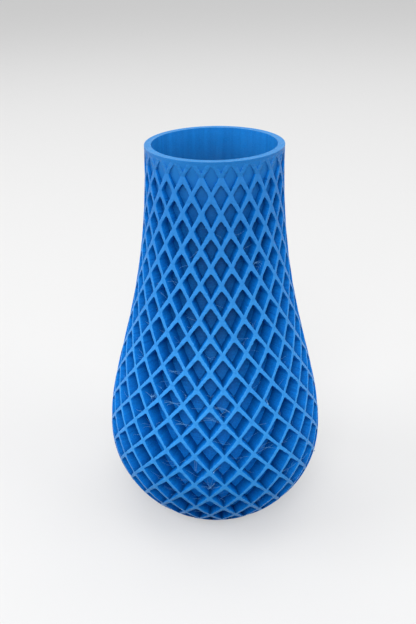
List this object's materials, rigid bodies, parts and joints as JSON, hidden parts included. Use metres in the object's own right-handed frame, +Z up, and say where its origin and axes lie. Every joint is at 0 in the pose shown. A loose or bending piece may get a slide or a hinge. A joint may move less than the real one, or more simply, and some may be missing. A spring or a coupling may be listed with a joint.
{
  "type": "lattice vase",
  "caption": "Pear-shaped vase with crossing ribs that form a diamond lattice over a smooth vessel wall, a plain rim round an open mouth, and a flat foot.",
  "frame": {"origin": "centre of the foot, on the surface that the vase stands on", "axes": "+Z up along the axis that the vase is turned about; a crossing of two ribs at the foot faces -Y"},
  "size_m": [0.1034, 0.1034, 0.18],
  "materials": {
    "vessel": "satin, fine level layer lines",
    "ribs": "satin, fine level layer lines"
  },
  "bodies": {
    "root": {"floor": "vessel", "wall": "vessel", "lattice": "ribs", "rim": "vessel"}
  },
  "joints": []
}
